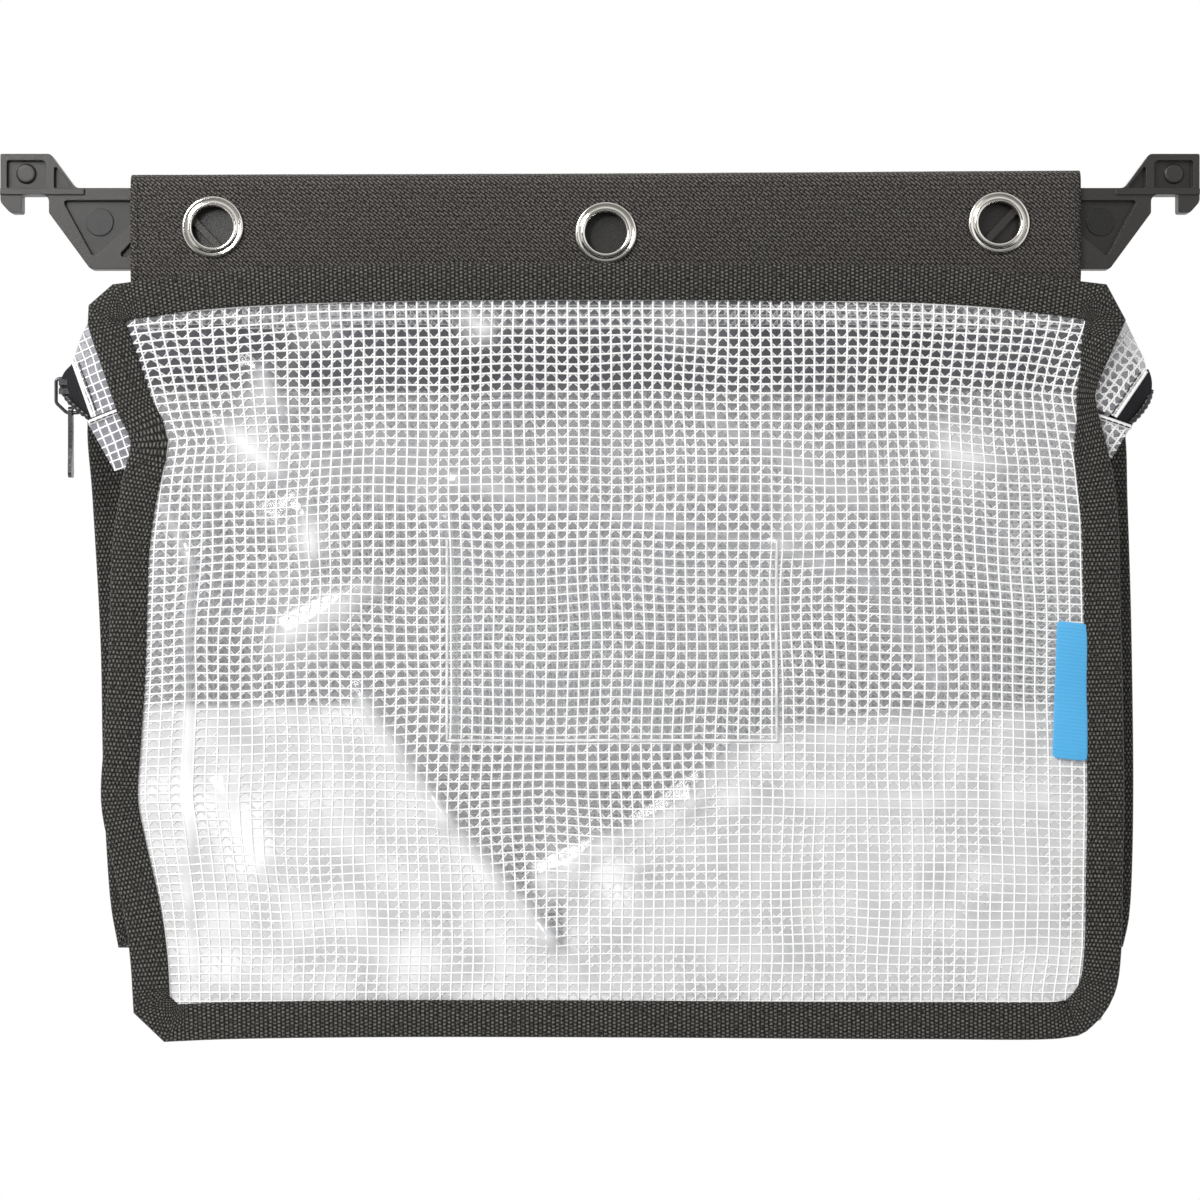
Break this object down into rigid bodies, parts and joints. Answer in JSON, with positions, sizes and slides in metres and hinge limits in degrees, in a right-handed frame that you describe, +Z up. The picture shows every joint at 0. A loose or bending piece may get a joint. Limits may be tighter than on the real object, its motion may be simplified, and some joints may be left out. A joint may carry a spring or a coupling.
{
  "type": "document pouch",
  "caption": "Hanging zip pouch of reinforced clear film with black bindings, an eyeleted cloth header and a hooked hanger bar for filing rails.",
  "frame": {"origin": "middle of the line through the two rail seats, in the middle of the bar's thickness", "axes": "+X along the bar to the viewer's right, +Y towards the back, +Z up"},
  "size_m": [0.411, 0.0333, 0.2997],
  "materials": {
    "bar_plastic": "moulded satin black",
    "header_cloth": "woven polyester",
    "binding_tape": "ribbed webbing tape",
    "grid_film": "clear film over a white yarn grid",
    "clear_film": "clear film",
    "white_tape": "woven tape",
    "nickel": "polished nickel plate",
    "zip_tape": "woven tape",
    "zip_coil": "nylon coil",
    "black_metal": "black enamel",
    "blue_label": "woven satin"
  },
  "bodies": {
    "hanger": {"hanger_bar": "bar_plastic"},
    "pouch_back": {"header_sleeve": "header_cloth", "front_eyelet_left": "nickel", "front_eyelet_centre": "nickel", "front_eyelet_right": "nickel", "front_eyelet_washers": "nickel", "rear_eyelet_left": "nickel", "rear_eyelet_centre": "nickel", "rear_eyelet_right": "nickel", "rear_eyelet_washers": "nickel", "back_yoke": "header_cloth", "back_panel": "grid_film", "back_binding_top": "binding_tape", "back_binding_left": "binding_tape", "back_binding_right": "binding_tape", "back_binding_bottom": "binding_tape", "mouth_strip_rear": "grid_film", "zip_tape_rear": "zip_tape", "zip_coil_rear": "zip_coil", "gusset_left_rear": "grid_film", "gusset_right_rear": "grid_film"},
    "pouch_front": {"front_panel": "grid_film", "front_binding_top": "binding_tape", "front_binding_left": "binding_tape", "front_binding_right": "binding_tape", "front_binding_bottom": "binding_tape", "mouth_strip_front": "grid_film", "zip_tape_front": "zip_tape", "zip_coil_front": "zip_coil", "gusset_left_front": "grid_film", "gusset_right_front": "grid_film", "gusset_seam_left": "white_tape", "gusset_seam_right": "white_tape", "floor_gusset": "grid_film", "side_label": "blue_label", "card_pocket": "clear_film"},
    "zip_slider": {"zip_slider": "black_metal"},
    "pull_tab": {"zip_pull_tab": "black_metal"}
  },
  "joints": [
    {"name": "bar_slide", "type": "slide", "parent": "hanger", "child": "pouch_back", "axis": [1, 0, 0], "range_m": [-0.0208, 0.0168]},
    {"name": "mouth_opening", "type": "hinge", "parent": "pouch_back", "child": "pouch_front", "pos_m": [0.0034, -0.0016, -0.246], "axis": [1, 0, 0], "range_deg": [0, 10]},
    {"name": "zip_travel", "type": "slide", "parent": "pouch_back", "child": "zip_slider", "axis": [1, 0, 0], "range_m": [0, 0.3628]},
    {"name": "tab_swing", "type": "hinge", "parent": "zip_slider", "child": "pull_tab", "pos_m": [-0.1792, -0.013, -0.0755], "axis": [1, 0, 0], "range_deg": [-60, 60]}
  ]
}
